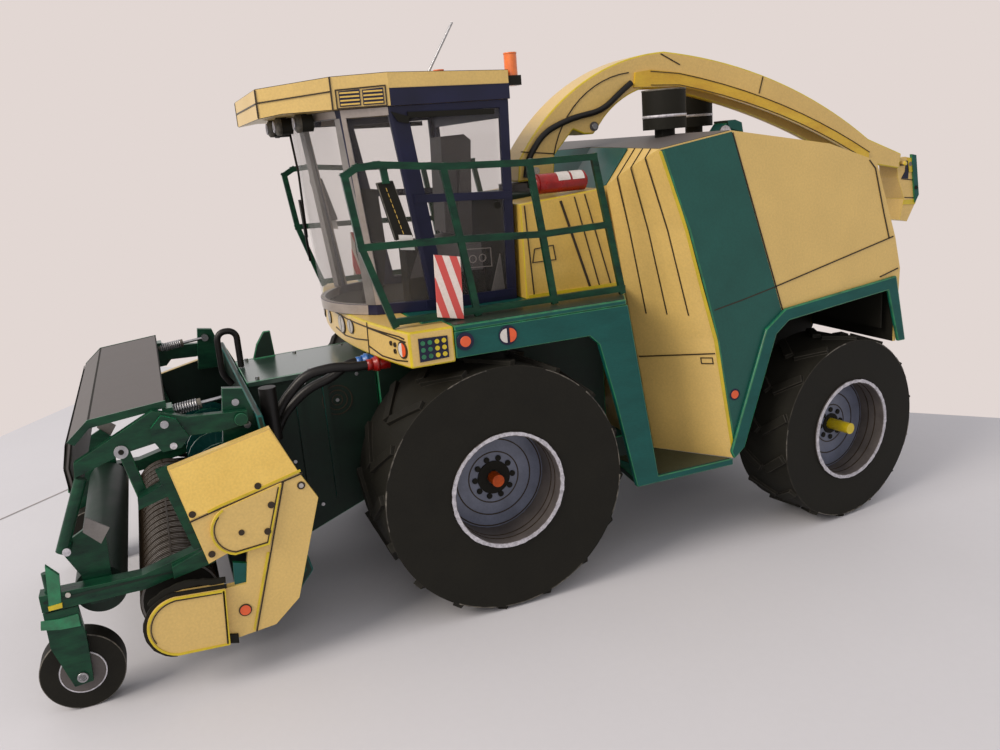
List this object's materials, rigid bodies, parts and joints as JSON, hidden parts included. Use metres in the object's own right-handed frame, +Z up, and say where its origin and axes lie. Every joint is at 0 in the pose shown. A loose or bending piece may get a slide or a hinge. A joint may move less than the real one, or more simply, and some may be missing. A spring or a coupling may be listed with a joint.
{
  "type": "forage harvester scale model",
  "caption": "Card model of a forage harvester: pick-up header, glazed cab, railed deck, sloped hood, slewing spout and turning wheels.",
  "frame": {"origin": "on the floor under the middle of the model's outline box", "axes": "+X to the machine's left, +Y to its rear, +Z up"},
  "size_m": [0.1, 0.2687, 0.1394],
  "materials": {
    "tyre": "matt black card tyre",
    "rim": "printed blue-grey card with a silver edge",
    "pin": "painted wooden pin",
    "green": "varnished dark green card",
    "cream": "varnished cream-yellow card",
    "dark": "black card",
    "grey": "grey card",
    "glass": "clear film",
    "amber": "orange beacon",
    "wire": "bare wire",
    "red_white": "red and white striped card",
    "red": "red card",
    "hose": "black wire sleeve"
  },
  "bodies": {
    "chassis": {"air_cleaners": "dark", "antenna": "wire", "beacons": "amber", "cab_frame": "dark", "cab_glass": "glass", "cab_roof": "cream", "centre_housing": "green", "console": "grey", "deck": "green", "engine_hood": "cream", "extinguisher": "red", "feeder_housing": "green", "front_axle": "pin", "front_fenders": "green", "gauge_arms": "green", "guard_brackets": "green", "header_flanges": "green", "header_frame": "green", "header_sides": "cream", "hose_couplers": "red", "hose_loop": "hose", "hoses": "hose", "light_bar": "cream", "lockers": "cream", "main_frame": "green", "mirrors": "dark", "railings": "green", "rear_axle": "green", "rear_fenders": "green", "seat": "grey", "spout_rest": "green", "spout_turret": "grey", "steering_wheel": "dark", "warning_plates": "red_white", "work_lamps": "dark"},
    "wheel_front_left": {"tyre_front_left": "tyre", "rim_front_left": "rim"},
    "wheel_front_right": {"tyre_front_right": "tyre", "rim_front_right": "rim"},
    "wheel_rear_left": {"tyre_rear_left": "tyre", "rim_rear_left": "rim"},
    "wheel_rear_right": {"tyre_rear_right": "tyre", "rim_rear_right": "rim"},
    "knuckle_left": {"knuckle_left": "pin"},
    "knuckle_right": {"knuckle_right": "pin"},
    "reel": {"pickup_reel": "grey"},
    "auger": {"feed_auger": "green"},
    "guard": {"wind_guard": "grey", "guard_arms": "green", "guard_springs": "wire", "guard_links": "green", "roller_hangers": "green"},
    "press_roller": {"press_roller": "dark"},
    "caster_left": {"gauge_fork_left": "green"},
    "caster_right": {"gauge_fork_right": "green"},
    "gauge_wheel_left": {"gauge_wheel_left": "tyre"},
    "gauge_wheel_right": {"gauge_wheel_right": "tyre"},
    "spout": {"spout": "cream", "spout_hose": "hose"},
    "spout_flap": {"spout_flap": "cream"}
  },
  "joints": [
    {"name": "front_left_spin", "type": "hinge", "parent": "chassis", "child": "wheel_front_left", "pos_m": [0, -0.03145, 0.03], "axis": [1, 0, 0], "continuous": true},
    {"name": "front_right_spin", "type": "hinge", "parent": "chassis", "child": "wheel_front_right", "pos_m": [0, -0.03145, 0.03], "axis": [1, 0, 0], "continuous": true},
    {"name": "steer_left", "type": "hinge", "parent": "chassis", "child": "knuckle_left", "pos_m": [0.0256, 0.06595, 0.0252], "axis": [0, 0, 1], "range_deg": [-19.7, 4.3]},
    {"name": "steer_right", "type": "hinge", "parent": "chassis", "child": "knuckle_right", "pos_m": [-0.0256, 0.06595, 0.0252], "axis": [0, 0, 1], "range_deg": [-19.7, 4.3]},
    {"name": "rear_left_spin", "type": "hinge", "parent": "knuckle_left", "child": "wheel_rear_left", "pos_m": [0.0256, 0.06595, 0.0252], "axis": [0.991, 0.134, 0], "continuous": true},
    {"name": "rear_right_spin", "type": "hinge", "parent": "knuckle_right", "child": "wheel_rear_right", "pos_m": [-0.0256, 0.06595, 0.0252], "axis": [0.991, 0.134, 0], "continuous": true},
    {"name": "reel_spin", "type": "hinge", "parent": "chassis", "child": "reel", "pos_m": [0, -0.10485, 0.0184], "axis": [1, 0, 0], "continuous": true},
    {"name": "auger_spin", "type": "hinge", "parent": "chassis", "child": "auger", "pos_m": [0, -0.09105, 0.0338], "axis": [1, 0, 0], "continuous": true},
    {"name": "guard_lift", "type": "hinge", "parent": "chassis", "child": "guard", "pos_m": [0, -0.08735, 0.0566], "axis": [-1, 0, 0], "range_deg": [0, 30]},
    {"name": "press_roller_spin", "type": "hinge", "parent": "guard", "child": "press_roller", "pos_m": [0, -0.11995, 0.024], "axis": [1, 0, 0], "continuous": true},
    {"name": "caster_left_swivel", "type": "hinge", "parent": "chassis", "child": "caster_left", "pos_m": [0.0406, -0.12885, 0.024], "axis": [0, 0, 1], "range_deg": [-20, 20]},
    {"name": "caster_right_swivel", "type": "hinge", "parent": "chassis", "child": "caster_right", "pos_m": [-0.0406, -0.12885, 0.024], "axis": [0, 0, 1], "range_deg": [-20, 20]},
    {"name": "gauge_left_spin", "type": "hinge", "parent": "caster_left", "child": "gauge_wheel_left", "pos_m": [0.0406, -0.12605, 0.0083], "axis": [1, 0, 0], "continuous": true},
    {"name": "gauge_right_spin", "type": "hinge", "parent": "caster_right", "child": "gauge_wheel_right", "pos_m": [-0.0406, -0.12605, 0.0083], "axis": [1, 0, 0], "continuous": true},
    {"name": "spout_slew", "type": "hinge", "parent": "chassis", "child": "spout", "pos_m": [0, -0.00095, 0.095], "axis": [0, 0, 1], "range_deg": [-100, 1]},
    {"name": "spout_flap_tilt", "type": "hinge", "parent": "spout", "child": "spout_flap", "pos_m": [0, 0.12705, 0.091], "axis": [1, 0, 0], "range_deg": [-20, 35]}
  ],
  "couplings": [
    {"joint": "steer_right", "follows": "steer_left", "ratio": 1}
  ]
}
